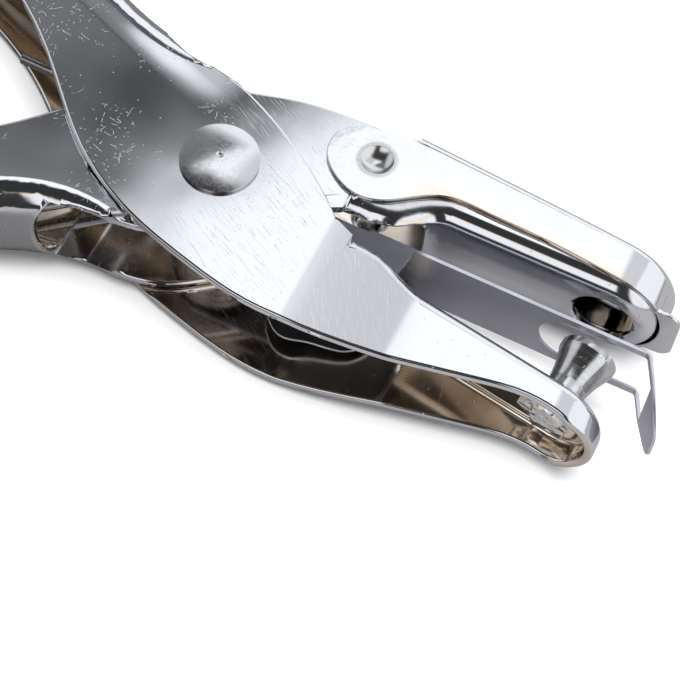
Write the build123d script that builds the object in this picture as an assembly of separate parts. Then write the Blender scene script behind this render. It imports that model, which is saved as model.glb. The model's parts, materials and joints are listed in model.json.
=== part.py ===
from build123d import *
import os
from math import cos, radians, sin, tan

# Single-hole hand punch, lying on its side. Millimetres.
# +X runs from the pivot towards the jaws, +Y from the punch jaw towards the die jaw, +Z along the
# pivot rivet. The origin is the centre of the lower rivet head's flat face, on which the tool rests.
# Every piece is drawn about the tool's middle plane and lifted by REST_HEIGHT when it is written.

# ---- driving dimensions -------------------------------------------------------------------------
LEVER_SHEET = 1.0           # thickness of the pressed steel levers
COVER_SHEET = 0.4           # thickness of the chip cover
STRIPPER_SHEET = 0.35       # thickness of the spring-steel stripper

PUNCH_HALF_WIDTH = 6.85     # punch lever: outer half width over the handle and the pivot cheeks
PUNCH_JAW_HALF_WIDTH = 5.3  # punch lever: outer half width over the jaw
DIE_HALF_WIDTH = 5.6        # die lever: outer half width all along, inside the punch lever's cheeks
COVER_HALF_WIDTH = 6.1      # chip cover: outer half width, outside the die lever's jaw
STRIPPER_HALF_WIDTH = 4.15  # stripper: outer half width, inside both jaws
WINDOW_HALF_WIDTH = 4.45    # opening in both webs behind the jaws, which the stripper passes through
WINDOW_CORNER = 1.0

HANDLE_CORNER = 3.0         # outer bend radius between a handle's web and its cheeks
PUNCH_JAW_CORNER = 1.5      # outer bend radius between the punch jaw's web and its cheeks
DIE_JAW_CORNER = 2.0        # the same on the die jaw
COVER_CORNER = 1.2          # outer bend radius of the chip cover
HANDLE_END_CORNER = 4.5     # corner radius of a handle's end, in plan
HANDLE_END_X = -92.0        # end of both handles
PUNCH_NOSE_X = 44.8         # front of the punch jaw
DIE_NOSE_X = 45.5           # front of the die jaw
COVER_NOSE_X = 46.0         # front of the chip cover, without its finger tab
JOGGLE_START_X = 12.5       # the punch lever narrows from here ...
JOGGLE_END_X = 23.5         # ... to here
JOGGLE_CORNER = 8.0         # plan radius at both ends of the joggle
WEB_END_SAGITTA = 1.5       # a handle's web ends in a shallow hollow arc, this deep
WEB_END_REACH = 6.0         # the bends run this far past a handle's web, along the pivot cheeks
FULL_ROUND = 0.02           # a round nose's radius is its half width less this

CLOSE_ANGLE = 9.0           # degrees from the open rest position to fully closed
PUNCH_REACH = 39.92         # pivot axis to hole axis
PUNCH_RADIUS = 3.0          # cutting end of the punch pin
DIE_HOLE_RADIUS = 3.2       # hole in the die jaw's web
DIE_FACE_Y = 4.6            # flat die face, square to the closed punch pin
STEM_RADIUS = 2.05          # stem of the punch pin
CUTTING_END_Y = 6.4         # height of the cutting end when the tool is closed
HOLLOW_RIM = 2.55           # shallow hollow in the cutting end: radius at its rim, and depth
HOLLOW_DEPTH = 0.45

RIVET_RADIUS = 2.5
RIVET_HEAD_RADIUS = 4.0
RIVET_HEAD_HEIGHT = 0.65
RUNNING_CLEARANCE = 0.05    # radial clearance of each running fit, and the gap under the rivet heads
SLEEVE_RADIUS = 3.2
SPRING_WIRE_RADIUS = 0.6
SPRING_COIL_RADIUS = 4.4
SPRING_PITCH = 1.35
SPRING_TURNS = 4

RIVET_CROWN_HEIGHT = 0.9
RIVET_RIM_SHARE = 0.55      # height of the upper head's straight rim, as a share of the head's
CROWN_SHOULDER = (0.55, 0.16)   # the crown is 0.16 down at 0.55 of the head's radius
RIVET_RIM_CHAMFER = 0.2
CENTRE_MARK_RADIUS = 0.5
SPRING_START_ANGLE = 118    # where the lower end of the coil lies, in degrees
LOWER_LEG_END = (-25.0, -14.6)
UPPER_LEG_END = (-25.0, 15.4)

TAIL_LENGTH = 1.1           # the punch pin's tail stands this far out of the web
TAIL_CHAMFER = 0.6
PUNCH_LAND = 0.7            # straight part of the cutting end
STEM_STRAIGHT = 2.2         # straight part of the stem above the web
STEM_HOLE_DEPTH = 12.0
FLARE_MIDDLE = 0.28         # how far the flare is out at FLARE_SHARE of its height
FLARE_SHARE = 0.65
STAR_POINTS = 6
STAR_RADIUS = 3.3
STAR_VALLEY_RADIUS = 2.35
STAR_HEIGHT = 0.8

DIE_HOLE_CHAMFER = 0.25
BEND_LEFT = 0.7             # width of each bend that is left past a handle's web end
WINDOW_DEPTH = 8.0
WINDOW_START = 1.0          # a window opens this far behind its web's end
PUNCH_WINDOW_END_X = 22.0
DIE_WINDOW_END_X = 20.6

COVER_PIVOT = (13.6, 7.6)   # centre of the dimples on which the chip cover swings
DIMPLE_RADIUS = 1.75        # of a dimple where it passes the hole in the die lever
DIMPLE_CLEARANCE = 0.15
DIMPLE_BALL = 2.75          # radius of the ball that presses a dimple
DIMPLE_BALL_OUT = 1.6       # height of that ball's centre outside the ear
TAB_END_X = 47.4
TAB_LENGTH = 8.0
TAB_WIDTH = 7.2
TAB_CORNER = 1.5
TAB_Y = 5.8
REST_HEIGHT = PUNCH_HALF_WIDTH + RUNNING_CLEARANCE + RIVET_HEAD_HEIGHT

FAR = 60.0                  # reaches past the whole tool from its middle plane
JAW_SLOPE = tan(radians(CLOSE_ANGLE))

# ---- side outlines ------------------------------------------------------------------------------
# Each lever is one channel from handle end to nose: a web and two cheeks. Its web is cut away around
# the pivot, so that the levers pass through each other, and only the cheeks go on there.
PUNCH_HANDLE_WEB = [(-96, 30.2), (-80, 31.4), (-66, 30.3), (-50, 27.3), (-36, 22.8), (-26, 18.4),
                    (-19, 15.3), (-11.5, 12.6), (-7.5, 12.2), (-3, 13.4)]
PUNCH_CHEEK_EDGE = [(-11.5, 11.7), (-9.6, 10.6), (-7.4, 10.0), (-3, 9.3), (0.6, 7.9), (5.8, 5.0),
                    (9.8, 2.1), (13.2, -0.9)]
PUNCH_JAW_WEB = [(9, -1.4), (15.2, -1.65), (18.4, -1.8), (21.2, -2.9), (24.0, -3.75)]
PUNCH_OPEN_EDGE = [(41.5, -10.1), (39.3, -9.6), (37, -9.4), (32.4, -10.0), (22.9, -11.9), (15.1, -13.1),
                   (9.5, -13.2), (1.6, -11.6), (-4.7, -9.6), (-13.6, -4.2), (-19.8, 2.1), (-26.5, 8.1),
                   (-33, 11.9), (-50, 17.7), (-66, 20.5), (-80, 21.5), (-96, 20.6)]
PUNCH_WEB_ENDS = (-11.5, 15.2)

DIE_HANDLE_WEB = [(-96, -29.1), (-80, -30.2), (-66, -29.1), (-50, -26.1), (-36, -21.6), (-26, -17.3),
                  (-18.6, -14.0), (-13.0, -11.9), (-9.0, -11.8), (-4, -13.3)]
DIE_CHEEK_EDGE = [(-13.0, -11.2), (-11.2, -10.4), (-9.0, -10.2), (-5.0, -10.0), (-1.5, -9.0), (2.6, -6.3),
                  (7.0, -2.9), (10.6, -0.2)]
DIE_JAW_WEB = [(9, 1.0), (12.8, 1.3), (18.4, 2.0), (20.4, 3.5), (22.8, DIE_FACE_Y)]
DIE_OPEN_EDGE = [(46.0, 8.8), (41.5, 9.3), (38.9, 9.6), (24, 11.0), (15, 11.5), (7.7, 11.4), (3.5, 10.9),
                 (-0.2, 9.9), (-4.7, 8.4), (-9.4, 5.9), (-13.6, 2.8), (-18.6, -2.4), (-22.5, -6.1),
                 (-27.5, -9.2), (-36, -13.0), (-50, -17.0), (-66, -19.7), (-80, -20.7), (-96, -20.0)]
DIE_WEB_ENDS = (-13.0, 12.8)

COVER_WEB = [(7.5, 13.05), (12, 12.8), (16.5, 12.55), (24.3, 11.95), (38.9, 10.7), (48, 9.6)]
COVER_EDGE = [(41, 5.75), (31.5, 6.7), (26, 6.9), (21.2, 6.7), (18.3, 5.0), (15.8, 3.4), (13.3, 3.0),
              (10.6, 4.1), (8.7, 6.3), (8.6, 8.6), (10.2, 10.4), (12.6, 11.1), (16.5, 11.7)]

STRIPPER_REAR = (16.2, 1.1)     # upper rear edge of the stripper's plate
STRIPPER_FRONT = (46.0, 0.8)    # where the plate bends down in front of the punch jaw
STRIPPER_TONGUE_END = (49.7, -6.5)
STRIPPER_BEND = 0.9
STRIPPER_SLOT_X = 34.8          # rear end of the slot for the punch pin
STRIPPER_SLOT_RADIUS = 3.3
STRIPPER_SLOT_DEPTH = 3.2       # the slot runs this far down the tongue
TONGUE_STRAIGHT = 0.38          # share of the tongue's length that keeps the plate's full width
TONGUE_NARROWS = 0.78           # and where it is down to TONGUE_WAIST of it
TONGUE_WAIST = 0.72
TONGUE_TIP = 0.5                # width of the tip, as a share of the plate's
TONGUE_TIP_ROUND = 0.45
FLANGE_EYE_WALL = 1.8           # metal round the sleeve in each flange's eye
FLANGE_LOWER_EDGE = [(20.0, -6.3), (18.3, -8.2), (14.0, -9.1), (11.6, -9.6), (9.9, -8.6), (8.6, -6.2)]
FLANGE_UPPER_EDGE = [(6.0, 2.2), (12.0, 0.9)]
FLANGE_ROOT_X = (16.6, 20.9)    # stretch of the plate that each flange hangs from


# ---- shared helpers -----------------------------------------------------------------------------
def outline_face(edges):
    return make_face(Wire.combine(edges)[0])


def across(face, half_width):
    """Extrude an XY face to the same width on both sides of the middle plane."""
    return extrude(Pos(0, 0, -half_width) * face, amount=2 * half_width)


def plate_pair(face, outer, thickness):
    """Two plates with one outline, the outer faces at plus and minus outer."""
    return [extrude(Pos(0, 0, z) * face, amount=thickness) for z in (outer - thickness, -outer)]


def plan_block(points, radii):
    """A block over half a plan outline (x, half width), mirrored, with corners of the given radii."""
    outline = points + [(x, -z) for x, z in reversed(points)]
    flat = make_face(Polyline([(x, -z) for x, z in outline], close=True))
    for (x, z), radius in zip(points, radii):
        if radius:
            corners = flat.vertices().filter_by(lambda v, x=x, z=z: abs(v.X - x) + abs(abs(v.Y) - z) < 0.01)
            flat = fillet(corners, radius)
    standing = Pos(0, FAR, 0) * Rot(90, 0, 0) * flat
    return extrude(standing, amount=2 * FAR)


def shifted(curve, distance):
    """Points along a curve, moved to its left by distance."""
    points = []
    for step in range(9):
        along = curve % (step / 8)
        points.append(curve @ (step / 8) + Vector(-along.Y, along.X) * distance)
    return points


def handle_web(points, inset=0.0):
    return [Spline(shifted(Spline(points), inset))] if inset else [Spline(points)]


def jaw_web(points, slope, inset=0.0):
    """A curved stretch that runs into a straight one with the given slope, past both noses."""
    ahead = (1, slope)
    rear = Spline(points, tangents=[(1, 0), ahead])
    if inset:
        rear = Spline(shifted(rear, inset), tangents=[(1, 0), ahead])
    start = rear @ 1
    reach = DIE_NOSE_X + 4 - start.X
    return [rear, Line(start, start + Vector(reach, reach * slope))]


def web_block(web, open_y, plan, corner):
    """A block under a web line, out to open_y, with its web edges rounded by corner."""
    first = web[0] @ 0
    last = web[-1] @ 1
    sides = Polyline(last, (last.X, open_y), (first.X, open_y), first)
    block = across(outline_face(web + [sides]), FAR) & plan
    edges = []
    for edge in block.edges():
        middle = edge @ 0.5
        upright = abs((edge % 0.5).Y) > 0.9
        inside = first.X + 0.5 < middle.X < last.X - 0.5
        on_web = min(line.distance_to(Vector(middle.X, middle.Y, 0)) for line in web) < 0.05
        if inside and on_web and not upright and abs(middle.Z) > 0.5:
            edges.append(edge)
    return fillet(edges, corner)


def x_slab(low, high):
    return Pos((low + high) / 2, 0, 0) * Box(high - low, 2 * FAR, 2 * FAR)


def z_cylinder(x, y, radius, low, high):
    return Pos(x, y, (low + high) / 2) * Cylinder(radius, high - low)


# ---- levers -------------------------------------------------------------------------------------
def round_nose_plan(profile, corners, inset=0.0):
    """Plan block of a lever. profile lists (x, half width) from handle end to nose."""
    points = [(x, half - inset) for x, half in profile]
    points[0] = (profile[0][0] + inset, points[0][1])
    points[-1] = (profile[-1][0] - inset, points[-1][1])
    nose_radius = points[-1][1] - FULL_ROUND
    return plan_block(points, [HANDLE_END_CORNER - inset] + corners + [nose_radius])


def web_end_cutter(web_end, half_width):
    """Takes the web off past a handle's web end, up to the bends, leaving a shallow hollow arc."""
    radius = (half_width ** 2 + WEB_END_SAGITTA ** 2) / (2 * WEB_END_SAGITTA)
    arc_centre = web_end - WEB_END_SAGITTA + radius
    arc = Pos(arc_centre, 0, 0) * Rot(90, 0, 0) * Cylinder(radius, 2 * FAR)
    reach = x_slab(web_end - WEB_END_SAGITTA, web_end + 2 * WEB_END_REACH)
    return arc & reach & Box(4 * FAR, 2 * FAR, 2 * half_width)


def channel(handle_points, jaw, profile, corners, web_ends, inward):
    """A lever before trimming: handle and jaw channels joined by two bare cheeks.

    jaw is (points, slope, bend radius). inward is -1 if the cheeks stand below the web.
    """
    jaw_points, jaw_slope, jaw_corner = jaw
    outer_plan = round_nose_plan(profile, corners)
    inner_plan = round_nose_plan(profile, corners, LEVER_SHEET)
    open_y = inward * FAR
    sheet = inward * LEVER_SHEET
    inner_jaw_web = jaw_web(jaw_points, jaw_slope, sheet)
    handle = web_block(handle_web(handle_points), open_y, outer_plan, HANDLE_CORNER)
    handle -= web_block(handle_web(handle_points, sheet), open_y, inner_plan, HANDLE_CORNER - LEVER_SHEET)
    jaw_block = web_block(jaw_web(jaw_points, jaw_slope), open_y, outer_plan, jaw_corner)
    jaw_block -= web_block(inner_jaw_web, open_y, inner_plan, jaw_corner - LEVER_SHEET)
    bends_end = web_ends[0] + WEB_END_REACH
    cheeks = (outer_plan - inner_plan) & x_slab(bends_end, web_ends[1])
    handle &= x_slab(2 * HANDLE_END_X, bends_end)
    handle -= web_end_cutter(web_ends[0], profile[0][1] - BEND_LEFT)
    return handle + cheeks + (jaw_block & x_slab(web_ends[1], FAR))


def trim_face(open_edge, cheek_edge, web_ends, jaw_level, nose_y, beyond):
    """Face that keeps a lever's cheeks to their edges, and clears its webs on the side of beyond."""
    last = open_edge[-1]
    past_nose = DIE_NOSE_X + 5
    return outline_face([
        Spline(open_edge),
        Polyline(last, (last[0], beyond), (web_ends[0], beyond), cheek_edge[0]),
        Spline(cheek_edge),
        Polyline(cheek_edge[-1], (web_ends[1], jaw_level), (web_ends[1], beyond), (past_nose, beyond),
                 (past_nose, nose_y), open_edge[0]),
    ])


def level_at(points, slope, x):
    """Height of a jaw web's outer face at x, on its curved stretch."""
    rear = jaw_web(points, slope)[0]
    return min((rear @ (step / 200) for step in range(201)), key=lambda place: abs(place.X - x)).Y


def window(low, high, y):
    """Opening in a jaw's web, with rounded front corners, for the stripper's flanges."""
    slot = Pos((low + high) / 2, y, 0) * Box(high - low, WINDOW_DEPTH, 2 * WINDOW_HALF_WIDTH)
    return fillet(slot.edges().filter_by(Axis.Y).group_by(Axis.X)[-1], WINDOW_CORNER)


def along_punch(solid):
    """Turn a solid drawn upright on the closed punch axis to where it stands with the tool at rest."""
    return Rot(0, 0, -CLOSE_ANGLE) * Pos(PUNCH_REACH, 0, 0) * Rot(-90, 0, 0) * solid


def punch_lever():
    profile = [(HANDLE_END_X, PUNCH_HALF_WIDTH), (JOGGLE_START_X, PUNCH_HALF_WIDTH),
               (JOGGLE_END_X, PUNCH_JAW_HALF_WIDTH), (PUNCH_NOSE_X, PUNCH_JAW_HALF_WIDTH)]
    jaw = (PUNCH_JAW_WEB, -JAW_SLOPE, PUNCH_JAW_CORNER)
    lever = channel(PUNCH_HANDLE_WEB, jaw, profile, [JOGGLE_CORNER, JOGGLE_CORNER], PUNCH_WEB_ENDS, -1)
    jaw_level = level_at(PUNCH_JAW_WEB, -JAW_SLOPE, PUNCH_WEB_ENDS[1])
    trim = trim_face(PUNCH_OPEN_EDGE, PUNCH_CHEEK_EDGE, PUNCH_WEB_ENDS, jaw_level,
                     PUNCH_OPEN_EDGE[0][1], FAR)
    lever &= across(trim, FAR)
    lever -= window(PUNCH_WEB_ENDS[1] - WINDOW_START, PUNCH_WINDOW_END_X, PUNCH_JAW_WEB[1][1])
    lever -= z_cylinder(0, 0, RIVET_RADIUS + RUNNING_CLEARANCE, -FAR, FAR)
    lever -= along_punch(Cylinder(STEM_RADIUS, STEM_HOLE_DEPTH))
    return lever


def die_lever():
    profile = [(HANDLE_END_X, DIE_HALF_WIDTH), (DIE_NOSE_X, DIE_HALF_WIDTH)]
    jaw = (DIE_JAW_WEB, 0.0, DIE_JAW_CORNER)
    lever = channel(DIE_HANDLE_WEB, jaw, profile, [], DIE_WEB_ENDS, 1)
    jaw_level = level_at(DIE_JAW_WEB, 0.0, DIE_WEB_ENDS[1])
    trim = trim_face(DIE_OPEN_EDGE, DIE_CHEEK_EDGE, DIE_WEB_ENDS, jaw_level, DIE_OPEN_EDGE[0][1], -FAR)
    lever &= across(trim, FAR)
    lever -= window(DIE_WEB_ENDS[1] - WINDOW_START, DIE_WINDOW_END_X, DIE_JAW_WEB[2][1])
    lever -= z_cylinder(0, 0, RIVET_RADIUS, -FAR, FAR)
    lever -= z_cylinder(*COVER_PIVOT, DIMPLE_RADIUS + DIMPLE_CLEARANCE, -FAR, FAR)
    through_web = Pos(PUNCH_REACH, DIE_FACE_Y + LEVER_SHEET / 2, 0) * Rot(90, 0, 0)
    lever -= through_web * Cylinder(DIE_HOLE_RADIUS, 4 * LEVER_SHEET)
    rims = lever.edges().filter_by(GeomType.CIRCLE).filter_by(
        lambda e: abs(e.radius - DIE_HOLE_RADIUS) < 0.01 and abs((e @ 0).Y - DIE_FACE_Y) < 0.01)
    return chamfer(rims, DIE_HOLE_CHAMFER)


# ---- pivot --------------------------------------------------------------------------------------
def pivot_rivet():
    """Shank with a shallow domed head above and a flat head below, on which the tool rests."""
    under_head = PUNCH_HALF_WIDTH + RUNNING_CLEARANCE
    rim = under_head + RIVET_HEAD_HEIGHT * RIVET_RIM_SHARE
    crown = under_head + RIVET_CROWN_HEIGHT
    shoulder = (RIVET_HEAD_RADIUS * CROWN_SHOULDER[0], crown - CROWN_SHOULDER[1])
    half_section = outline_face([
        Polyline((0, crown), (0, -REST_HEIGHT), (RIVET_HEAD_RADIUS - RIVET_RIM_CHAMFER, -REST_HEIGHT),
                 (RIVET_HEAD_RADIUS, -REST_HEIGHT + RIVET_RIM_CHAMFER), (RIVET_HEAD_RADIUS, -under_head),
                 (RIVET_RADIUS, -under_head), (RIVET_RADIUS, under_head), (RIVET_HEAD_RADIUS, under_head),
                 (RIVET_HEAD_RADIUS, rim)),
        ThreePointArc((RIVET_HEAD_RADIUS, rim), shoulder, (0, crown)),
    ])
    rivet = revolve(Rot(90, 0, 0) * half_section, Axis.Z)
    return rivet - Pos(0, 0, crown + 0.6 * CENTRE_MARK_RADIUS) * Sphere(CENTRE_MARK_RADIUS)


def pivot_sleeve():
    """Spacer tube round the shank. It keeps the die lever's cheeks apart and carries the spring."""
    length = 2 * (DIE_HALF_WIDTH - LEVER_SHEET)
    return Cylinder(SLEEVE_RADIUS, length) - Cylinder(RIVET_RADIUS + RUNNING_CLEARANCE, length + 2)


def return_spring():
    """Torsion spring round the sleeve, one leg inside each handle's web."""
    height = SPRING_PITCH * SPRING_TURNS
    start = Pos(0, 0, -height / 2) * Rot(0, 0, SPRING_START_ANGLE)
    coil_path = start * Helix(SPRING_PITCH, height, SPRING_COIL_RADIUS)
    spring = sweep(Plane(coil_path @ 0, z_dir=coil_path % 0) * Circle(SPRING_WIRE_RADIUS), path=coil_path,
                   is_frenet=True)
    for end, tip in ((coil_path @ 0, Vector(*LOWER_LEG_END, -height / 2)),
                     (coil_path @ 1, Vector(*UPPER_LEG_END, height / 2))):
        leg = tip - end
        spring += Plane(end, z_dir=leg) * Cylinder(SPRING_WIRE_RADIUS, leg.length,
                                                   align=(Align.CENTER, Align.CENTER, Align.MIN))
        spring += Pos(end) * Sphere(SPRING_WIRE_RADIUS)
    return spring


# ---- punch, stripper and chip cover -------------------------------------------------------------
def punch_pin():
    """Trumpet-shaped punch on a straight stem, staked over inside the web as a six-pointed star."""
    web_top = punch_web_height()
    tail_end = web_top - LEVER_SHEET - TAIL_LENGTH
    land = CUTTING_END_Y - PUNCH_LAND
    half_section = outline_face([
        Polyline((PUNCH_RADIUS, land), (PUNCH_RADIUS, CUTTING_END_Y), (0, CUTTING_END_Y), (0, tail_end),
                 (STEM_RADIUS - TAIL_CHAMFER, tail_end), (STEM_RADIUS, tail_end + TAIL_CHAMFER),
                 (STEM_RADIUS, web_top + STEM_STRAIGHT)),
        ThreePointArc((STEM_RADIUS, web_top + STEM_STRAIGHT),
                      (STEM_RADIUS + FLARE_MIDDLE, web_top + FLARE_SHARE * land), (PUNCH_RADIUS, land)),
    ])
    pin = Rot(-90, 0, 0) * revolve(Rot(90, 0, 0) * half_section, Axis.Z)
    hollow_radius = (HOLLOW_RIM ** 2 + HOLLOW_DEPTH ** 2) / (2 * HOLLOW_DEPTH)
    pin -= Pos(0, CUTTING_END_Y + hollow_radius - HOLLOW_DEPTH, 0) * Sphere(hollow_radius)
    pin += Pos(0, web_top - LEVER_SHEET, 0) * staked_star()
    return Rot(0, 0, -CLOSE_ANGLE) * Pos(PUNCH_REACH, 0, 0) * pin


def staked_star():
    """The tail's metal, spread over the web by a star-shaped stake."""
    points = []
    for corner in range(2 * STAR_POINTS):
        radius = STAR_VALLEY_RADIUS if corner % 2 else STAR_RADIUS
        angle = radians(180 / STAR_POINTS * corner + 10)
        points.append((radius * cos(angle), radius * sin(angle)))
    star = make_face(Polyline(points, close=True))
    return Rot(90, 0, 0) * extrude(star, amount=STAR_HEIGHT)


def punch_web_height():
    """Height of the punch jaw's web where the punch stands on it, in the closed position."""
    return Vector(*PUNCH_JAW_WEB[-1], 0).rotate(Axis.Z, CLOSE_ANGLE).Y


def thick_line(path, thickness):
    """Face of a bent strip whose upper side follows the path."""
    return make_face(offset(path, amount=thickness, side=Side.RIGHT, closed=True))


def stripper_plate():
    """Thin plate round the punch pin, with flanges that swing on the sleeve and a front tongue."""
    rear = Vector(*STRIPPER_REAR, 0)
    front = Vector(*STRIPPER_FRONT, 0)
    tip = Vector(*STRIPPER_TONGUE_END, 0)
    path = FilletPolyline(rear, front, tip, radius=STRIPPER_BEND)
    strip = across(thick_line(path, STRIPPER_SHEET), STRIPPER_HALF_WIDTH)
    strip -= plate_slot(front)
    tongue_plane = Plane(origin=front, x_dir=(0, 0, 1), z_dir=(tip - front).cross(Vector(0, 0, 1)))
    strip -= tongue_plane * tongue_waste((tip - front).length)
    for flange in plate_pair(flange_outline(), STRIPPER_HALF_WIDTH, STRIPPER_SHEET):
        strip += flange
    return strip - z_cylinder(0, 0, SLEEVE_RADIUS + RUNNING_CLEARANCE, -FAR, FAR)


def plate_slot(front):
    """Round-ended slot for the punch pin. It runs on past the front bend, a little way down the tongue."""
    centre_x = STRIPPER_SLOT_X + STRIPPER_SLOT_RADIUS
    past_bend = front.X + STRIPPER_SLOT_DEPTH
    slot = Pos(centre_x, 0, 0) * Rot(90, 0, 0) * Cylinder(STRIPPER_SLOT_RADIUS, 2 * FAR)
    straight = Box(past_bend - centre_x, 2 * FAR, 2 * STRIPPER_SLOT_RADIUS)
    slot += Pos((centre_x + past_bend) / 2, 0, 0) * straight
    bottom = front.Y - STRIPPER_SLOT_DEPTH
    return slot & Pos(0, bottom + FAR / 2, 0) * Box(4 * FAR, FAR, 4 * FAR)


def tongue_waste(length):
    """What is cut from the tongue's sides, to leave a blade that narrows to a round end."""
    half = STRIPPER_HALF_WIDTH
    shape = [(half, 0), (half, TONGUE_STRAIGHT * length), (TONGUE_WAIST * half, TONGUE_NARROWS * length),
             (TONGUE_TIP * half, length)]
    outline = shape + [(-across_tongue, down) for across_tongue, down in reversed(shape)]
    blade = make_face(Polyline([(w, -down) for w, down in outline], close=True))
    blade = fillet(blade.vertices().group_by(Axis.Y)[0], TONGUE_TIP_ROUND * half)
    sheet = Pos(0, -length, 0) * Rectangle(4 * half, 2 * length - 2)
    return extrude(sheet - blade, amount=3 * STRIPPER_BEND, both=True)


def flange_outline():
    """Side outline of a flange: an eye on the sleeve, and an arm out to the plate's rear edge."""
    eye = SLEEVE_RADIUS + FLANGE_EYE_WALL
    under_plate = STRIPPER_REAR[1] - STRIPPER_SHEET + 0.05
    root_rear, root_front = ((x, under_plate) for x in FLANGE_ROOT_X)
    return outline_face([
        Polyline(root_front, FLANGE_LOWER_EDGE[0]),
        Spline(FLANGE_LOWER_EDGE + [(0, -eye)], tangents=[(-0.5, -1), (-1, 0)]),
        ThreePointArc((0, -eye), (-eye, 0), (0, eye)),
        Spline([(0, eye)] + FLANGE_UPPER_EDGE + [root_rear], tangents=[(1, 0), (1, 0)]),
        Line(root_rear, root_front),
    ])


def chip_cover():
    """Sprung cover over the die jaw, with rear ears that snap into the jaw and a finger tab in front."""
    inner_half = COVER_HALF_WIDTH - COVER_SHEET
    outer_plan = plan_block([(5, COVER_HALF_WIDTH), (COVER_NOSE_X, COVER_HALF_WIDTH)],
                            [0, COVER_HALF_WIDTH - FULL_ROUND])
    inner_plan = plan_block([(4, inner_half), (COVER_NOSE_X - COVER_SHEET, inner_half)],
                            [0, inner_half - FULL_ROUND])
    cover = web_block(handle_web(COVER_WEB), -FAR, outer_plan, COVER_CORNER)
    cover -= web_block(handle_web(COVER_WEB, -COVER_SHEET), -FAR, inner_plan, COVER_CORNER - COVER_SHEET)
    heel_x = COVER_EDGE[-1][0]
    past_nose = COVER_NOSE_X + 4
    trim = outline_face([
        Spline(COVER_EDGE),
        Polyline(COVER_EDGE[-1], (heel_x, FAR), (past_nose, FAR), (past_nose, TAB_Y - 0.2), COVER_EDGE[0]),
    ])
    cover &= across(trim, FAR)
    cover += finger_tab() - inner_plan
    for side in (-1, 1):
        cover = dimpled(cover, side)
    return cover


def finger_tab():
    """Flat lip in front of the cover's nose, level with its lower edge."""
    tab = Pos(TAB_END_X - TAB_LENGTH / 2, TAB_Y, 0) * Box(TAB_LENGTH, COVER_SHEET, TAB_WIDTH)
    return fillet(tab.edges().filter_by(Axis.Y).group_by(Axis.X)[-1], TAB_CORNER)


def dimpled(cover, side):
    """Press a dimple into one ear, into the hole of the die lever's cheek behind it."""
    wall = side * COVER_HALF_WIDTH
    ball_centre = Pos(*COVER_PIVOT, wall + side * DIMPLE_BALL_OUT)
    region = z_cylinder(*COVER_PIVOT, DIMPLE_BALL * 0.8, *sorted((wall, wall - side * 3)))
    cover += ball_centre * Sphere(DIMPLE_BALL) & region
    return cover - ball_centre * Sphere(DIMPLE_BALL - COVER_SHEET)


PARTS = {
    "punch_lever": punch_lever,
    "die_lever": die_lever,
    "pivot_rivet": pivot_rivet,
    "pivot_sleeve": pivot_sleeve,
    "return_spring": return_spring,
    "punch_pin": punch_pin,
    "stripper_plate": stripper_plate,
    "chip_cover": chip_cover,
}

if __name__ == "__main__":
    os.makedirs("parts", exist_ok=True)
    for name, make in PARTS.items():
        solid = Pos(0, 0, REST_HEIGHT) * make()
        export_step(solid, f"parts/{name}.step")
        print(name, round(solid.volume, 2), "mm3", solid.is_valid)
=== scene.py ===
"""Looks of the single-hole hand punch: plated sheet steel, lying on its side on a pale floor."""
import json
import math
import bmesh
import bpy
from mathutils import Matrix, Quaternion, Vector

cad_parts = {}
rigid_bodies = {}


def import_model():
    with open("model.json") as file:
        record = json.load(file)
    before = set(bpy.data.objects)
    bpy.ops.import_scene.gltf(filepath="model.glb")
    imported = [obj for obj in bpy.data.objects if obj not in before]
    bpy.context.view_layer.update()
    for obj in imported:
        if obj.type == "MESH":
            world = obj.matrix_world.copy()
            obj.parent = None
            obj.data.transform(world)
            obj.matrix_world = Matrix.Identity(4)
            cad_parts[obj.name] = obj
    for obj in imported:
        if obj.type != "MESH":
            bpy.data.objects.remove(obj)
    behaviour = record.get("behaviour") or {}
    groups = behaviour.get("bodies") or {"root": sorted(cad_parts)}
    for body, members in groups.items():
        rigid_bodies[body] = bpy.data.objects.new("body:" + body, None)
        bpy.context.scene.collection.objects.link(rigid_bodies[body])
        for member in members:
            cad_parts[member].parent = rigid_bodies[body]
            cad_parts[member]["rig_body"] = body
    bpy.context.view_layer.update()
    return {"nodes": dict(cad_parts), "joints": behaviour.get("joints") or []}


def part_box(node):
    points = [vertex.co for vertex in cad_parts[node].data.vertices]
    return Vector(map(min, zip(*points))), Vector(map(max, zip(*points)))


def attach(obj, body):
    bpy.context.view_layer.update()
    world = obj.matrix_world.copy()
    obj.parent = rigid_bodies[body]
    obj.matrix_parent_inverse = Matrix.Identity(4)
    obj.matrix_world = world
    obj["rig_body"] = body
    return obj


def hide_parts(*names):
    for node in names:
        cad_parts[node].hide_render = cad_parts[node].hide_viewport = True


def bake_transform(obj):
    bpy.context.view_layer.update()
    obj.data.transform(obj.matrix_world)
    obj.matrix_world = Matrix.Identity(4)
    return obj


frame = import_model()

MM = 0.001
MIDDLE = (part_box("pivot_sleeve")[0].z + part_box("pivot_sleeve")[1].z) / 2    # the tool's middle plane

# ---- camera and stage ---------------------------------------------------------------------------
CAMERA_PLACE = (0.0512, -0.1029, 0.1868)
CAMERA_AIM = (0.0192, -0.0099, MIDDLE)
CAMERA_ROLL = math.radians(6.93)
CAMERA_LENS = 108.0                 # on a sensor 36 mm wide


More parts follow.
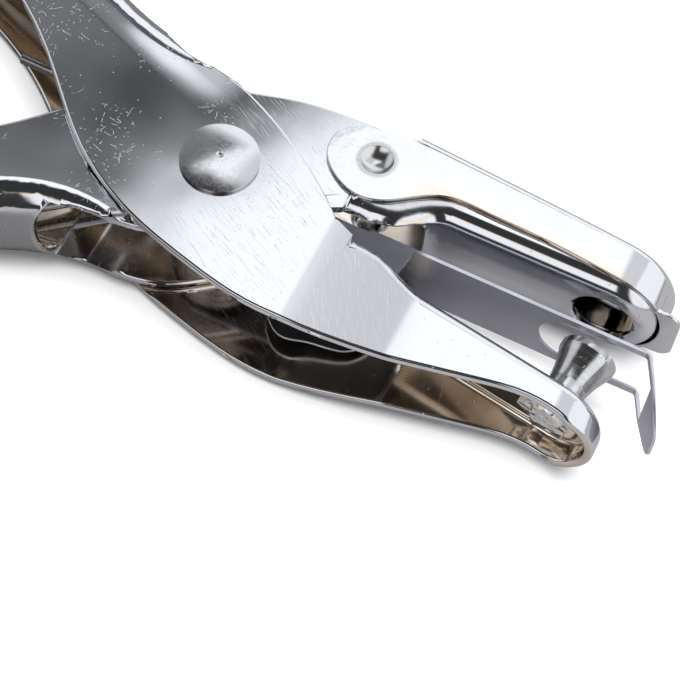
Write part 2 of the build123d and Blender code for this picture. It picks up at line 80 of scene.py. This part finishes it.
def add_camera():
    data = bpy.data.cameras.new("camera")
    data.lens = CAMERA_LENS
    data.sensor_width = 36.0
    data.clip_start = 0.01
    camera = bpy.data.objects.new("camera", data)
    bpy.context.scene.collection.objects.link(camera)
    facing = (Vector(CAMERA_AIM) - Vector(CAMERA_PLACE)).to_track_quat("-Z", "Y")
    camera.location = CAMERA_PLACE
    camera.rotation_mode = "QUATERNION"
    camera.rotation_quaternion = facing @ Quaternion((0, 0, 1), CAMERA_ROLL)
    bpy.context.scene.camera = camera


# ---- node helpers -------------------------------------------------------------------------------
class Nodes:
    """A node tree, with short calls for the nodes that the finishes share."""

    def __init__(self, tree):
        self.tree = tree

    def add(self, kind, inputs=(), **settings):
        """A node of that kind. inputs is a dict of socket name or index to a value or a socket."""
        node = self.tree.nodes.new(kind)
        for name, value in settings.items():
            setattr(node, name, value)
        for key, value in dict(inputs).items():
            self.feed(node.inputs[key], value)
        return node

    def feed(self, socket, value):
        if isinstance(value, bpy.types.NodeSocket):
            self.tree.links.new(value, socket)
        else:
            socket.default_value = value

    def maths(self, operation, first, second=0.0):
        return self.add("ShaderNodeMath", {0: first, 1: second}, operation=operation).outputs[0]

    def times(self, *values):
        found = values[0]
        for value in values[1:]:
            found = self.maths("MULTIPLY", found, value)
        return found

    def highest(self, *values):
        found = values[0]
        for value in values[1:]:
            found = self.maths("MAXIMUM", found, value)
        return found

    def split(self, vector):
        node = self.add("ShaderNodeSeparateXYZ", {0: vector})
        return node.outputs[0], node.outputs[1], node.outputs[2]

    def minus(self, vector, other):
        return self.add("ShaderNodeVectorMath", {0: vector, 1: other}, operation="SUBTRACT").outputs[0]

    def turned(self, vector, angle):
        """The vector turned about Z."""
        node = self.add("ShaderNodeVectorRotate", {"Vector": vector, "Angle": angle}, rotation_type="Z_AXIS")
        return node.outputs[0]

    def dot(self, vector, axis):
        node = self.add("ShaderNodeVectorMath", {0: vector, 1: axis}, operation="DOT_PRODUCT")
        return node.outputs["Value"]

    def ramp(self, value, low, high, out_low=0.0, out_high=1.0):
        """A smooth step from out_low at low to out_high at high."""
        inputs = {"Value": value, "From Min": low, "From Max": high, "To Min": out_low, "To Max": out_high}
        return self.add("ShaderNodeMapRange", inputs, interpolation_type="SMOOTHSTEP").outputs["Result"]

    def between(self, value, start, full, full_end, end):
        """1 from full to full_end, and falling smoothly to 0 at start and at end."""
        return self.times(self.ramp(value, start, full), self.ramp(value, end, full_end))

    def blend(self, factor, first, second):
        """A colour between two colours."""
        node = self.add("ShaderNodeMix", {0: factor, 6: first, 7: second}, data_type="RGBA")
        return node.outputs[2]

    def stretched(self, place, turn, scale):
        """Coordinates turned about Z, then scaled along each axis."""
        inputs = {0: self.turned(place, turn), 1: scale}
        return self.add("ShaderNodeVectorMath", inputs, operation="MULTIPLY").outputs[0]

    def noise(self, place, scale, detail=2.0, roughness=0.5):
        node = self.add("ShaderNodeTexNoise",
                        {"Vector": place, "Scale": scale, "Detail": detail, "Roughness": roughness})
        return node.outputs[0]


def cover_pivot():
    return Vector(next(joint["pos_m"] for joint in frame["joints"] if joint["name"] == "cover_open"))


def rgb(red, green, blue):
    return (red, green, blue, 1.0)


# ---- studio -------------------------------------------------------------------------------------
KEY_ENERGY = 62.0                   # watts; the other sizes here are in metres
KEY_SIDE = 1.6
KEY_HEIGHT = 1.8
FLOOR_SIDE = 6.0
FLOOR_SEEN = rgb(0.82, 0.82, 0.82)
MIRRORED_BY_HANDLES = rgb(0.12, 0.118, 0.12)    # the floor as the plating shows it, behind the pivot
MIRRORED_BY_JAWS = rgb(0.26, 0.255, 0.26)       # and under the jaws
MIRROR_CHANGE = (-16 * MM, -2 * MM)             # X where the one turns into the other
DARKEST = 0.04                      # brightness of the studio between its boxes
COOL_WHITE = rgb(0.95, 0.97, 1.0)
PEACH = rgb(1.0, 0.86, 0.72)
PEACH_BAND = (-0.48, -0.54, -0.58, -0.66)       # Y of the directions with a warm tint


def studio_light(nodes, x, y, z):
    """Brightness of the studio in the direction (x, y, z): the brightest of its boxes there.

    Each box is a level times smooth steps. A step is (value, from, to), which rises from 0 to 1, or
    (value, from, to, low, high).
    """
    def box(level, *steps):
        return nodes.times(level, *[nodes.ramp(*step) for step in steps])

    slant = nodes.maths("SUBTRACT", x, nodes.maths("MULTIPLY", y, 0.8))
    rearward = nodes.maths("SUBTRACT", nodes.maths("MULTIPLY", y, 0.86), nodes.maths("MULTIPLY", x, 0.51))
    overhead = box(1.3, (slant, -0.66, -0.625), (z, 0.3, 0.5), (y, 0.14, 0.26), (x, -0.04, 0.14, 1.0, 0.60))
    back = box(1.15, (y, 0.66, 0.80), (z, -0.05, 0.1))
    left = box(0.8, (x, -0.62, -0.78), (z, 0.05, 0.3))
    right = box(1.1, (x, 0.42, 0.55), (z, -0.05, 0.1))
    rear_grey = box(0.21, (y, 0.05, 0.3), (x, -0.26, -0.34, 0.45, 1.0),
                    (rearward, 0.552, 0.570, 1.0, 0.45), (rearward, 0.583, 0.602, 1.0, 2.2))
    front = box(1.1, (y, -0.50, -0.60), (z, 0.30, 0.42), (x, 0.12, 0.04))
    return nodes.highest(DARKEST, overhead, back, left, right, rear_grey, front)


def add_world():
    """A studio of soft boxes told by direction, dark behind the handles. The camera sees it white."""
    world = bpy.data.worlds.new("studio")
    world.use_nodes = True
    bpy.context.scene.world = world
    nodes = Nodes(world.node_tree)
    x, y, z = nodes.split(nodes.add("ShaderNodeTexCoord").outputs["Generated"])
    light = studio_light(nodes, x, y, z)
    colour = nodes.blend(nodes.between(y, *PEACH_BAND), COOL_WHITE, PEACH)
    seen = nodes.add("ShaderNodeLightPath").outputs["Is Camera Ray"]
    background = world.node_tree.nodes["Background"]
    nodes.feed(background.inputs["Color"], nodes.blend(seen, colour, rgb(1, 1, 1)))
    strength = nodes.add("ShaderNodeMix", {0: seen, 2: light, 3: 1.0}).outputs[0]
    nodes.feed(background.inputs["Strength"], strength)


def add_key_light():
    """Evens out the floor. The plating doesn't show it, so its shape makes no highlight."""
    data = bpy.data.lights.new("key", "AREA")
    data.energy = KEY_ENERGY
    data.size = KEY_SIDE
    key = bpy.data.objects.new("key", data)
    key.location = (0, 0, KEY_HEIGHT)
    key.visible_glossy = False
    bpy.context.scene.collection.objects.link(key)


def add_floor():
    """A pale floor. The plating mirrors it as grey, like a table in the tool's own shade."""
    mesh = bpy.data.meshes.new("floor")
    half = FLOOR_SIDE / 2
    corners = [(-half, -half, 0), (half, -half, 0), (half, half, 0), (-half, half, 0)]
    mesh.from_pydata(corners, [], [(0, 1, 2, 3)])
    floor = bpy.data.objects.new("floor", mesh)
    bpy.context.scene.collection.objects.link(floor)
    material = bpy.data.materials.new("floor")
    material.use_nodes = True
    nodes = Nodes(material.node_tree)
    surface = material.node_tree.nodes["Principled BSDF"]
    seen = nodes.add("ShaderNodeLightPath").outputs["Is Camera Ray"]
    along = nodes.split(nodes.add("ShaderNodeTexCoord").outputs["Object"])[0]
    mirrored = nodes.blend(nodes.ramp(along, *MIRROR_CHANGE), MIRRORED_BY_HANDLES, MIRRORED_BY_JAWS)
    nodes.feed(surface.inputs["Base Color"], nodes.blend(seen, mirrored, FLOOR_SEEN))
    surface.inputs["Roughness"].default_value = 1.0
    surface.inputs["Specular IOR Level"].default_value = 0.0
    mesh.materials.append(material)


# ---- finishes -----------------------------------------------------------------------------------
PLATING = rgb(0.79, 0.80, 0.83)
RUBBED_PLATING = rgb(0.66, 0.66, 0.68)
NICKED_PLATING = rgb(0.95, 0.95, 0.95)
INNER_STAIN = rgb(0.70, 0.61, 0.52)
INNER_PLATING = rgb(0.93, 0.86, 0.78)
COVER_TONES = (rgb(0.76, 0.77, 0.79), rgb(0.84, 0.85, 0.87))
# painted reflection: a peach glow along the cover's lower edge
COVER_PAINTED_REFLECTION = rgb(0.95, 0.76, 0.62)
DRAWN_DIMPLE = rgb(0.72, 0.72, 0.73)
STRIP_TONES = (rgb(0.68, 0.69, 0.76), rgb(0.78, 0.79, 0.86))
FLANGE_PAINTED_SHADE = rgb(0.16, 0.16, 0.18)     # painted shade: the flanges lie in the levers' shade
TURNED_TONES = (rgb(0.64, 0.64, 0.65), rgb(0.74, 0.74, 0.74))
STAKED_TAIL = rgb(0.92, 0.90, 0.88)
PIN_MARK = rgb(0.9, 0.9, 0.88)
RIVET_TONE = (0.82, 0.82, 0.84)
SLEEVE_TONE = (0.5, 0.5, 0.5)
SPRING_TONE = (0.35, 0.34, 0.33)

BRUSHING = math.radians(-30)        # direction of the fine brushing on the levers
RUBBING = math.radians(-60)         # direction of the scratches on the joggle
BRUSH_GRAIN = (250.0, 9000.0, 250.0)        # noise cells in a metre, along and across the brushing
ROLLING_GRAIN = (200.0, 200.0, 3000.0)      # the same for the stripper, fine across its width
FINE_GRAIN = 4000.0                 # noise cells in a metre of the rivet, the sleeve and the wire
BROAD_WAVES = 110.0                 # noise cells in a metre of the levers' slight unevenness

# Stretches along X: where each starts, is full, starts to end and has ended.
HANDLED = (-34 * MM, -22 * MM, -4 * MM, 1 * MM)     # levers: nicked by handling
WORN = (-6 * MM, 4 * MM, 11 * MM, 16 * MM)          # levers: brushed by wear
RUBBED = (12 * MM, 15 * MM, 21 * MM, 26 * MM)       # levers: rubbed dull on the joggle
PAINTED_REFLECTION_STRETCH = (16 * MM, 21 * MM, 38 * MM, 43 * MM)         # cover: a painted warm reflection along its lower edge
COVER_EDGE_X = (17 * MM, 44 * MM)                   # cover: its lower edge runs from here to there,
COVER_EDGE_Y = (6.9 * MM, 5.9 * MM)                 # at these heights
FLANGE_SHADE_END = (22.5 * MM, 21 * MM)                   # stripper: the painted shade on its flanges fades out between these
DIMPLE_RIM = (1.9 * MM, 2.3 * MM)                   # cover: a dimple's drawn metal ends between these radii

# Marks: the size of a pattern's cells, the marks' length and width in mm, the share of cells with one.
NICKS = [(1.9, 1.5, 0.026, 0.50), (1.0, 0.7, 0.030, 0.42), (0.55, 0.3, 0.030, 0.35)]
DOTS = (0.9, 0.12, 0.06, 0.08)
PIN_MARKS = (0.8, 0.45, 0.06, 0.25)

RISE_MIDDLE = (-12.5 * MM, 9.0 * MM, 0)     # where the cheek lifts beside the handle's bend
RISE_TURN = math.radians(-20.7)
RISE_WIDTH = 1.8 * MM
RISE_FADE = (11 * MM, -4 * MM)
RISE_DEPTH = 0.27 * MM

PUNCH_INNER_HALF = 5.85 * MM        # inner half width of the punch lever's channel, at the pivot
PUNCH_JAW_INNER_HALF = 4.3 * MM     # and in its jaw
JOGGLE = (12.5 * MM, 23.5 * MM)     # it narrows between these
DIE_INNER_HALF = 4.6 * MM
PIN_TILT = math.radians(9)          # the pin's axis leans this far at rest
PIN_AXIS = (math.sin(PIN_TILT), math.cos(PIN_TILT), 0)
STAKE_HEIGHT = -0.95 * MM           # where the pin's staked tail starts, measured along its axis


def new_finish(name):
    material = bpy.data.materials.new(name)
    material.use_nodes = True
    nodes = Nodes(material.node_tree)
    surface = material.node_tree.nodes["Principled BSDF"]
    surface.inputs["Metallic"].default_value = 1.0
    place = nodes.add("ShaderNodeTexCoord").outputs["Object"]
    return material, nodes, surface, place


def bumps(nodes, surface, layers):
    """Feed the surface normal from layers of (height socket, depth in metres)."""
    normal = None
    for height, depth in layers:
        inputs = {"Height": height, "Distance": depth, "Strength": 1.0}
        if normal is not None:
            inputs["Normal"] = normal
        normal = nodes.add("ShaderNodeBump", inputs).outputs[0]
    nodes.feed(surface.inputs["Normal"], normal)


def hairlines(nodes, place, turn, length, spacing, rarity):
    """Straight fine lines in one direction: 0 on the bare surface, up to 1 in a line."""
    lines = nodes.noise(nodes.stretched(place, turn, (1 / length, 1 / spacing, 1 / length)), 1.0, 1.0)
    return nodes.ramp(lines, rarity, rarity + 0.10)


def ticks(nodes, place, cell, length, width, share):
    """Short curved nicks, one in some cells of a random pattern, each with its own direction.

    cell, length and width are in millimetres. share is how many of the cells have a nick.
    """
    length *= MM
    width *= MM
    inputs = {"Vector": place, "Scale": 1 / (cell * MM)}
    cells = nodes.add("ShaderNodeTexVoronoi", inputs, voronoi_dimensions="2D")
    chance = nodes.add("ShaderNodeSeparateColor", {0: cells.outputs["Color"]})
    local = nodes.minus(place, cells.outputs["Position"])
    along, beside, _ = nodes.split(nodes.turned(local, nodes.maths("MULTIPLY", chance.outputs[0], math.pi)))
    bend = nodes.ramp(chance.outputs[2], 0.0, 1.0, -0.35 / length, 0.35 / length)
    sag = nodes.times(along, along, bend)
    off_line = nodes.maths("ABSOLUTE", nodes.maths("ADD", beside, sag))
    thin = nodes.ramp(off_line, 0.4 * width, width, 1.0, 0.0)
    short = nodes.ramp(nodes.maths("ABSOLUTE", along), 0.35 * length, 0.5 * length, 1.0, 0.0)
    chosen = nodes.ramp(chance.outputs[1], 1 - share - 0.01, 1 - share)
    return nodes.times(thin, short, chosen)


def pressed_rise(nodes, place):
    """Height of the cheek where it starts to lift into the handle's bend, above the pivot."""
    local = nodes.minus(place, RISE_MIDDLE)
    along = nodes.dot(local, (math.cos(RISE_TURN), math.sin(RISE_TURN), 0))
    beside = nodes.dot(local, (-math.sin(RISE_TURN), math.cos(RISE_TURN), 0))
    return nodes.times(nodes.ramp(beside, -RISE_WIDTH, RISE_WIDTH), nodes.ramp(along, *RISE_FADE))


def channel_inside(nodes, place, normal, inner_face, inner_facing):
    """1 on a channel's inner faces and 0 on its outer ones.

    inner_face makes the socket of the height of the cheeks' inner faces from the middle plane;
    inner_facing is the Y direction that the inner side of the web faces.
    """
    along, _, height = nodes.split(place)
    from_middle = nodes.maths("ABSOLUTE", nodes.maths("SUBTRACT", height, MIDDLE))
    past_face = nodes.maths("SUBTRACT", from_middle, inner_face(nodes, along))
    inward = nodes.dot(normal, (0, inner_facing, 0))
    outward = nodes.maths("MULTIPLY", nodes.dot(normal, (1, 0, 0)), nodes.maths("SIGN", along))
    return nodes.times(nodes.ramp(past_face, 0.02 * MM, 0.12 * MM, 1.0, 0.0), nodes.ramp(inward, -0.4, -0.1),
                       nodes.ramp(outward, 0.20, 0.35, 1.0, 0.0))


def nick_pattern(nodes, place, along, inside):
    """Broken nicks in clusters, most of them where the tool is handled, and single dots all over."""
    clusters = nodes.ramp(nodes.noise(place, 170.0, 1.0), 0.50, 0.60)
    handled = nodes.between(along, *HANDLED)
    clusters = nodes.times(clusters, nodes.ramp(handled, 0.0, 1.0, 0.12, 1.0),
                           nodes.ramp(inside, 0.0, 1.0, 1.0, 0.0))
    nicks = nodes.highest(*[ticks(nodes, place, *sizes) for sizes in NICKS])
    broken = nodes.ramp(nodes.noise(place, 2600.0, 1.0), 0.34, 0.58)
    return nodes.highest(nodes.times(nicks, broken, clusters), ticks(nodes, place, *DOTS))


def plated_sheet(name, inner_face, inner_facing, shaped=()):
    """Bright nickel on pressed sheet. Inside the channel it is browner and unevenly stained.

    inner_face and inner_facing are as in channel_inside. shaped lists (height function, depth) for
    broad shallow shapes of the pressing.
    """
    material, nodes, surface, place = new_finish(name)
    along = nodes.split(place)[0]
    normal = nodes.add("ShaderNodeNewGeometry").outputs["True Normal"]
    inside = channel_inside(nodes, place, normal, inner_face, inner_facing)
    nicks = nick_pattern(nodes, place, along, inside)

    waves = nodes.noise(place, BROAD_WAVES, 1.0)
    hairs = nodes.times(hairlines(nodes, place, -BRUSHING, 2.2 * MM, 0.07 * MM, 0.62),
                        nodes.highest(nodes.between(along, *WORN), nodes.ramp(waves, 0.55, 0.7, 0.0, 0.5)))
    on_cheek = nodes.ramp(nodes.maths("ABSOLUTE", nodes.dot(normal, (0, 1, 0))), 0.5, 0.3)
    rubbed = nodes.times(nodes.between(along, *RUBBED), on_cheek)
    rubs = nodes.times(hairlines(nodes, place, -RUBBING, 1.8 * MM, 0.08 * MM, 0.58), rubbed)

    plating = nodes.blend(rubbed, PLATING, RUBBED_PLATING)
    plating = nodes.blend(nodes.highest(nicks, nodes.times(rubs, 0.35)), plating, NICKED_PLATING)
    stain = nodes.noise(place, 180.0, 3.0)
    brown = nodes.blend(nodes.ramp(stain, 0.35, 0.65), INNER_STAIN, INNER_PLATING)
    nodes.feed(surface.inputs["Base Color"], nodes.blend(inside, plating, brown))
    roughness = nodes.highest(nodes.ramp(waves, 0.3, 0.7, 0.07, 0.11), nodes.times(nicks, 0.5),
                              nodes.times(hairs, 0.28), nodes.times(rubbed, 0.22))
    nodes.feed(surface.inputs["Roughness"], roughness)
    brushed = nodes.noise(nodes.stretched(place, -BRUSHING, BRUSH_GRAIN), 1.0, 2.0)
    bumps(nodes, surface, [(height(nodes, place), depth) for height, depth in shaped] + [
        (waves, 0.035 * MM),
        (brushed, 0.0006 * MM),
        (hairs, -0.0012 * MM),
        (nicks, -0.006 * MM),
    ])
    return material


def straight_cheeks(half_width):
    def inner_face(nodes, along):
        return half_width
    return inner_face


def joggled_cheeks(wide, narrow, start, end):
    def inner_face(nodes, along):
        return nodes.add("ShaderNodeMapRange", {"Value": along, "From Min": start, "From Max": end,
                                                "To Min": wide, "To Max": narrow}).outputs["Result"]
    return inner_face


def plain_metal(name, colour, roughness, grain, depth, dents=0.0):
    """A metal with fine even grain, and broad shallow dents if wanted."""
    material, nodes, surface, place = new_finish(name)
    speckle = nodes.noise(place, grain, 2.0)
    tone = nodes.blend(nodes.noise(place, grain / 12, 2.0), rgb(*[0.88 * c for c in colour]), rgb(*colour))
    nodes.feed(surface.inputs["Base Color"], tone)
    nodes.feed(surface.inputs["Roughness"], nodes.ramp(speckle, 0.3, 0.7, 0.8 * roughness, 1.2 * roughness))
    bumps(nodes, surface, [(speckle, depth), (nodes.noise(place, 420.0, 1.5), dents)])
    return material


def cover_metal(name):
    """Bright plating, drawn duller and a little darker in the pressed dimples, with a painted warm
    reflection along its lower edge.
    """
    material, nodes, surface, place = new_finish(name)
    along, height, _ = nodes.split(place)
    from_pivot = nodes.minus(place, cover_pivot())
    flat = nodes.add("ShaderNodeVectorMath", {0: from_pivot, 1: (1, 1, 0)}, operation="MULTIPLY").outputs[0]
    away = nodes.add("ShaderNodeVectorMath", {0: flat}, operation="LENGTH").outputs["Value"]
    drawn = nodes.ramp(away, *DIMPLE_RIM, 1.0, 0.0)
    # Painted reflection: a warm tint just above the cover's lower edge.
    above_edge = nodes.maths("SUBTRACT", height, nodes.ramp(along, *COVER_EDGE_X, *COVER_EDGE_Y))
    painted_reflection = nodes.times(nodes.ramp(above_edge, 1.5 * MM, 0.1 * MM, 0.0, 0.8), nodes.between(along, *PAINTED_REFLECTION_STRETCH))
    waves = nodes.noise(place, 420.0, 1.5)
    speckle = nodes.noise(place, 3500.0, 2.0)
    tone = nodes.blend(painted_reflection, nodes.blend(waves, *COVER_TONES), COVER_PAINTED_REFLECTION)
    nodes.feed(surface.inputs["Base Color"], nodes.blend(drawn, tone, DRAWN_DIMPLE))
    gloss = nodes.ramp(speckle, 0.3, 0.7, 0.06, 0.10)
    nodes.feed(surface.inputs["Roughness"], nodes.maths("ADD", gloss, nodes.times(drawn, 0.12)))
    bumps(nodes, surface, [(speckle, 0.0003 * MM), (waves, 0.02 * MM)])
    return material


def strip_metal(name):
    """Satin spring strip, with painted shade on its flanges."""
    material, nodes, surface, place = new_finish(name)
    rolled = nodes.noise(nodes.stretched(place, 0.0, ROLLING_GRAIN), 1.0, 2.0)
    broad = nodes.noise(place, 250.0, 2.0)
    facing = nodes.dot(nodes.add("ShaderNodeNewGeometry").outputs["True Normal"], (0, 0, 1))
    # Painted shade: faces that face along Z are darkened, up to where the flanges end.
    flange_shade = nodes.times(nodes.ramp(nodes.maths("ABSOLUTE", facing), 0.7, 0.9),
                         nodes.ramp(nodes.split(place)[0], *FLANGE_SHADE_END))
    satin = nodes.blend(broad, *STRIP_TONES)
    nodes.feed(surface.inputs["Base Color"], nodes.blend(flange_shade, satin, FLANGE_PAINTED_SHADE))
    nodes.feed(surface.inputs["Roughness"], nodes.ramp(rolled, 0.3, 0.7, 0.30, 0.40))
    bumps(nodes, surface, [(rolled, 0.0006 * MM), (broad, 0.01 * MM)])
    return material


def turned_metal(name, axis):
    """Machined steel with fine rings round its axis, small handling marks and a crinkled staked tail."""
    material, nodes, surface, place = new_finish(name)
    height = nodes.dot(place, axis)
    down_axis = nodes.add("ShaderNodeCombineXYZ", {0: height}).outputs[0]
    rings = nodes.noise(down_axis, 5200.0, 2.0)
    bands = nodes.noise(down_axis, 1100.0, 2.0)
    marks = ticks(nodes, place, *PIN_MARKS)
    tail = nodes.ramp(height, STAKE_HEIGHT + 0.2 * MM, STAKE_HEIGHT)
    crinkle = nodes.add("ShaderNodeTexVoronoi", {"Vector": place, "Scale": 1100.0}).outputs["Distance"]
    tone = nodes.blend(nodes.ramp(bands, 0.35, 0.65), *TURNED_TONES)
    tone = nodes.blend(tail, tone, STAKED_TAIL)
    nodes.feed(surface.inputs["Base Color"], nodes.blend(marks, tone, PIN_MARK))
    nodes.feed(surface.inputs["Roughness"], nodes.ramp(rings, 0.3, 0.7, 0.12, 0.26))
    bumps(nodes, surface, [
        (rings, 0.0025 * MM),
        (nodes.noise(place, 600.0, 2.0), 0.015 * MM),
        (marks, -0.006 * MM),
        (nodes.times(crinkle, tail), 0.12 * MM),
    ])
    return material


def dress(piece, material):
    piece.data.materials.clear()
    piece.data.materials.append(material)


# ---- pieces -------------------------------------------------------------------------------------
SHEET_EDGE = 0.30 * MM      # roll-over along the levers' sheared edges
THIN_EDGE = 0.09 * MM       # the same on the thin cover and stripper
SAME_PLACE = 0.002 * MM     # points closer than this are one point
FLAT_ANGLE = math.radians(0.4)      # faces that turn less than this are one flat face
OUTLINE_ANGLE = math.radians(50)    # sheared edges are sharper than this
CREASE_ANGLE = math.radians(40)     # and shading breaks at edges sharper than this
ROLL_STEPS = 3                      # flats that make up a rounded edge


def outline_edges(work):
    """Sharp edges in the middle of an outline, away from the corners where three of them meet."""
    sharp = [e for e in work.edges if len(e.link_faces) == 2 and e.calc_face_angle(0.0) > OUTLINE_ANGLE]
    at_corner = {}
    for edge in sharp:
        for vert in edge.verts:
            at_corner[vert] = at_corner.get(vert, 0) + 1
    return [e for e in sharp if all(at_corner[v] == 2 for v in e.verts)]


DIMPLE_BALL_OUT = 1.6 * MM              # centre of the ball that presses a dimple, outside the ear
DIMPLE_RADII = (2.35 * MM, 2.75 * MM)   # the pressed side's radius and the far side's
DIMPLE_CUTS = 3
ON_BALL = 0.01 * MM                     # a point this near a ball's surface lies on it


def finer_dimples(work):
    """Cut the cover's dimples finer, and put their points on the balls that they are parts of."""
    pivot = cover_pivot()
    low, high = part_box("chip_cover")
    for height in (low.z - DIMPLE_BALL_OUT, high.z + DIMPLE_BALL_OUT):
        centre = Vector((pivot.x, pivot.y, height))
        for radius in DIMPLE_RADII:
            edges = [e for e in work.edges
                     if all(abs((v.co - centre).length - radius) < ON_BALL for v in e.verts)]
            cut = bmesh.ops.subdivide_edges(work, edges=edges, cuts=DIMPLE_CUTS, use_grid_fill=True)
            for part in cut["geom_inner"]:
                if isinstance(part, bmesh.types.BMVert):
                    part.co = centre + (part.co - centre).normalized() * radius


def eased(node, radius, refine=None):
    """A copy of a CAD node with its sheared edges rounded over, which stands for it.

    refine may cut the mesh finer first.
    """
    source = frame["nodes"][node]
    mesh = source.data.copy()
    work = bmesh.new()
    work.from_mesh(mesh)
    bmesh.ops.remove_doubles(work, verts=work.verts, dist=SAME_PLACE)
    bmesh.ops.dissolve_limit(work, angle_limit=FLAT_ANGLE, verts=work.verts, edges=work.edges)
    if refine:
        refine(work)
    weight = work.edges.layers.float.new("bevel_weight_edge")
    for edge in outline_edges(work):
        edge[weight] = 1.0
    for face in work.faces:
        face.smooth = True
    work.to_mesh(mesh)
    work.free()
    piece = bpy.data.objects.new(node + "_eased", mesh)
    bpy.context.scene.collection.objects.link(piece)
    mesh.set_sharp_from_angle(angle=CREASE_ANGLE)
    bevel = piece.modifiers.new("roll_over", "BEVEL")
    bevel.width = radius
    bevel.segments = ROLL_STEPS
    bevel.limit_method = "WEIGHT"
    bevel.use_clamp_overlap = False
    shading = piece.modifiers.new("flat_faces_stay_flat", "WEIGHTED_NORMAL")
    shading.mode = "FACE_AREA"
    shading.weight = 50
    shading.keep_sharp = True
    depsgraph = bpy.context.evaluated_depsgraph_get()
    final = bpy.data.meshes.new_from_object(piece.evaluated_get(depsgraph), depsgraph=depsgraph)
    piece.modifiers.clear()
    piece.data = final
    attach(piece, source["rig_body"])
    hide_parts(node)
    return piece


WIRE_RADIUS = 0.6 * MM
WIRE_QUARTER_STEPS = 6
CURVE_STEPS = 4             # between two points of the spring's line
COIL_RADIUS = 4.4 * MM
COIL_TURNS = 4
COIL_START = math.radians(118)
COIL_STEPS = 24             # points in each turn


def spring_line():
    """Points along the spring's wire: lower leg, coil, upper leg."""
    low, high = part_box("return_spring")
    tip_x = low.x + WIRE_RADIUS
    bottom = low.z + WIRE_RADIUS
    rise = high.z - WIRE_RADIUS - bottom
    points = [Vector((tip_x, low.y + WIRE_RADIUS, bottom))]
    for step in range(COIL_STEPS * COIL_TURNS + 1):
        turned = step / COIL_STEPS
        angle = COIL_START + 2 * math.pi * turned
        points.append(Vector((COIL_RADIUS * math.cos(angle), COIL_RADIUS * math.sin(angle),
                              bottom + rise * turned / COIL_TURNS)))
    points.append(Vector((tip_x, high.y - WIRE_RADIUS, bottom + rise)))
    return points


def torsion_spring():
    """Round wire: the lower leg lies in the die lever, the upper one in the punch lever."""
    points = spring_line()
    data = bpy.data.curves.new("torsion_spring", "CURVE")
    data.dimensions = "3D"
    data.bevel_depth = WIRE_RADIUS
    data.bevel_resolution = WIRE_QUARTER_STEPS
    data.use_fill_caps = True
    data.resolution_u = CURVE_STEPS
    line = data.splines.new("NURBS")
    line.points.add(len(points) - 1)
    for knot, point in zip(line.points, points):
        knot.co = (*point, 1.0)
    line.order_u = 3
    line.use_endpoint_u = True
    curve = bpy.data.objects.new("spring_line", data)
    bpy.context.scene.collection.objects.link(curve)
    depsgraph = bpy.context.evaluated_depsgraph_get()
    mesh = bpy.data.meshes.new_from_object(curve.evaluated_get(depsgraph), depsgraph=depsgraph)
    bpy.data.objects.remove(curve)
    spring = bpy.data.objects.new("torsion_spring", mesh)
    bpy.context.scene.collection.objects.link(spring)
    for polygon in mesh.polygons:
        polygon.use_smooth = True
    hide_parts("return_spring")
    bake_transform(spring)
    return spring


add_camera()
add_world()
add_key_light()
add_floor()
bpy.context.scene.view_settings.view_transform = "Standard"

punch_sheet = eased("punch_lever", SHEET_EDGE)
punch_inner_face = joggled_cheeks(PUNCH_INNER_HALF, PUNCH_JAW_INNER_HALF, *JOGGLE)
dress(punch_sheet, plated_sheet("punch_plating", punch_inner_face, -1, [(pressed_rise, RISE_DEPTH)]))
die_sheet = eased("die_lever", SHEET_EDGE)
dress(die_sheet, plated_sheet("die_plating", straight_cheeks(DIE_INNER_HALF), 1))
rivet_metal = plain_metal("rivet", RIVET_TONE, 0.20, FINE_GRAIN, 0.0006 * MM, dents=0.04 * MM)
dress(frame["nodes"]["pivot_rivet"], rivet_metal)
dress(frame["nodes"]["pivot_sleeve"], plain_metal("sleeve", SLEEVE_TONE, 0.3, FINE_GRAIN, 0.002 * MM))
dress(torsion_spring(), plain_metal("spring", SPRING_TONE, 0.3, FINE_GRAIN, 0.002 * MM))
dress(frame["nodes"]["punch_pin"], turned_metal("pin", PIN_AXIS))
strip = eased("stripper_plate", THIN_EDGE)
dress(strip, strip_metal("strip"))
cover = eased("chip_cover", THIN_EDGE, finer_dimples)
dress(cover, cover_metal("cover"))
